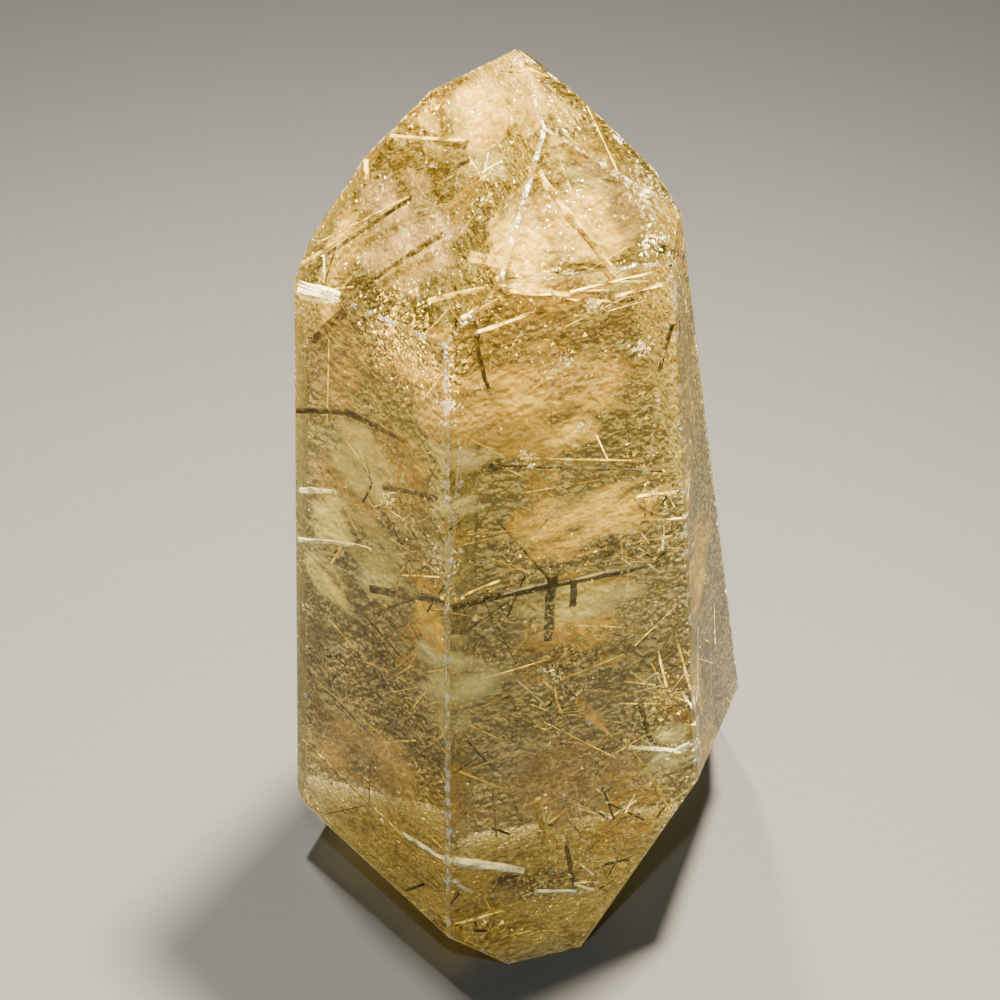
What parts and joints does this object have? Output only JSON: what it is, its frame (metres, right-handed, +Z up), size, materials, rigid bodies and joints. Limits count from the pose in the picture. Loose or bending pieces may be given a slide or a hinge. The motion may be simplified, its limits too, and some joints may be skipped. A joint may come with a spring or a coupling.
{
  "type": "rutilated smoky quartz point",
  "caption": "Clear smoky quartz crystal point, cut and polished as a six-sided tower with a faceted tip, on a flat base.",
  "frame": {"origin": "middle of the footprint, on the plane of the flat cut base", "axes": "+Z up along the crystal, from its base to its tip; -Y towards the viewer of the picture, where the front ridge is; +X to the viewer's right"},
  "size_m": [0.0474, 0.0454, 0.1047],
  "materials": {
    "smoky_quartz": "polished clear smoky brown quartz with golden needles, milky veils and worn bright edges"
  },
  "bodies": {
    "root": {"quartz_crystal": "smoky_quartz"}
  },
  "joints": []
}
